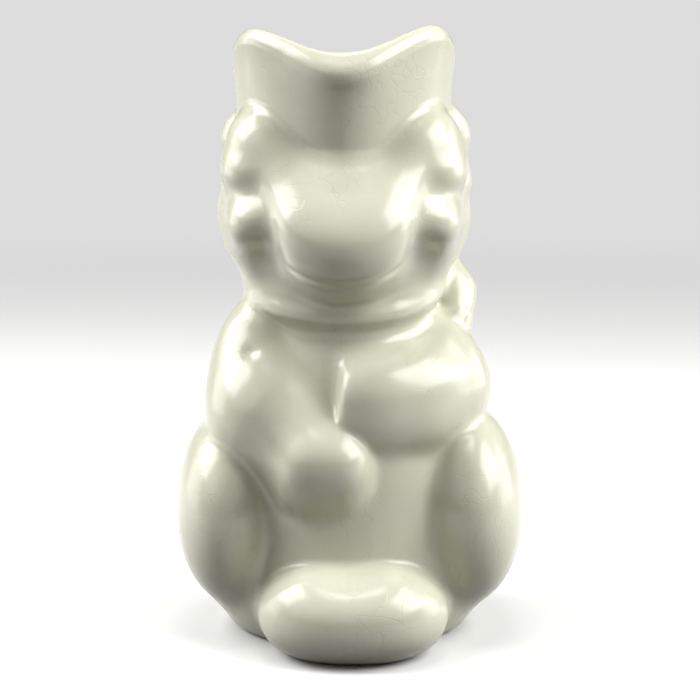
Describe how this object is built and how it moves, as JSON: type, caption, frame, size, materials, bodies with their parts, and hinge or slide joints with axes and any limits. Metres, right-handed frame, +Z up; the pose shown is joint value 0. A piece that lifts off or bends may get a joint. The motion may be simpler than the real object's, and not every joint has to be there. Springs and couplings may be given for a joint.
{
  "type": "rabbit pitcher",
  "caption": "Hollow glazed earthenware pitcher shaped as a sitting rabbit, with a flared collar and pouring lip above its head and a loop handle behind.",
  "frame": {"origin": "centre of the flat base that the pitcher stands on", "axes": "+Z up; the rabbit faces -Y, so its face, paws and pouring lip are towards -Y and the handle is at +Y; +X is the rabbit's left"},
  "size_m": [0.1173, 0.1463, 0.2043],
  "materials": {
    "glaze": "glossy cream glaze with a fine crackle"
  },
  "bodies": {
    "root": {"body": "glaze", "head": "glaze", "spout": "glaze", "left_ear": "glaze", "right_ear": "glaze", "left_arm": "glaze", "right_arm": "glaze", "feet": "glaze", "tail": "glaze", "handle": "glaze"}
  },
  "joints": []
}
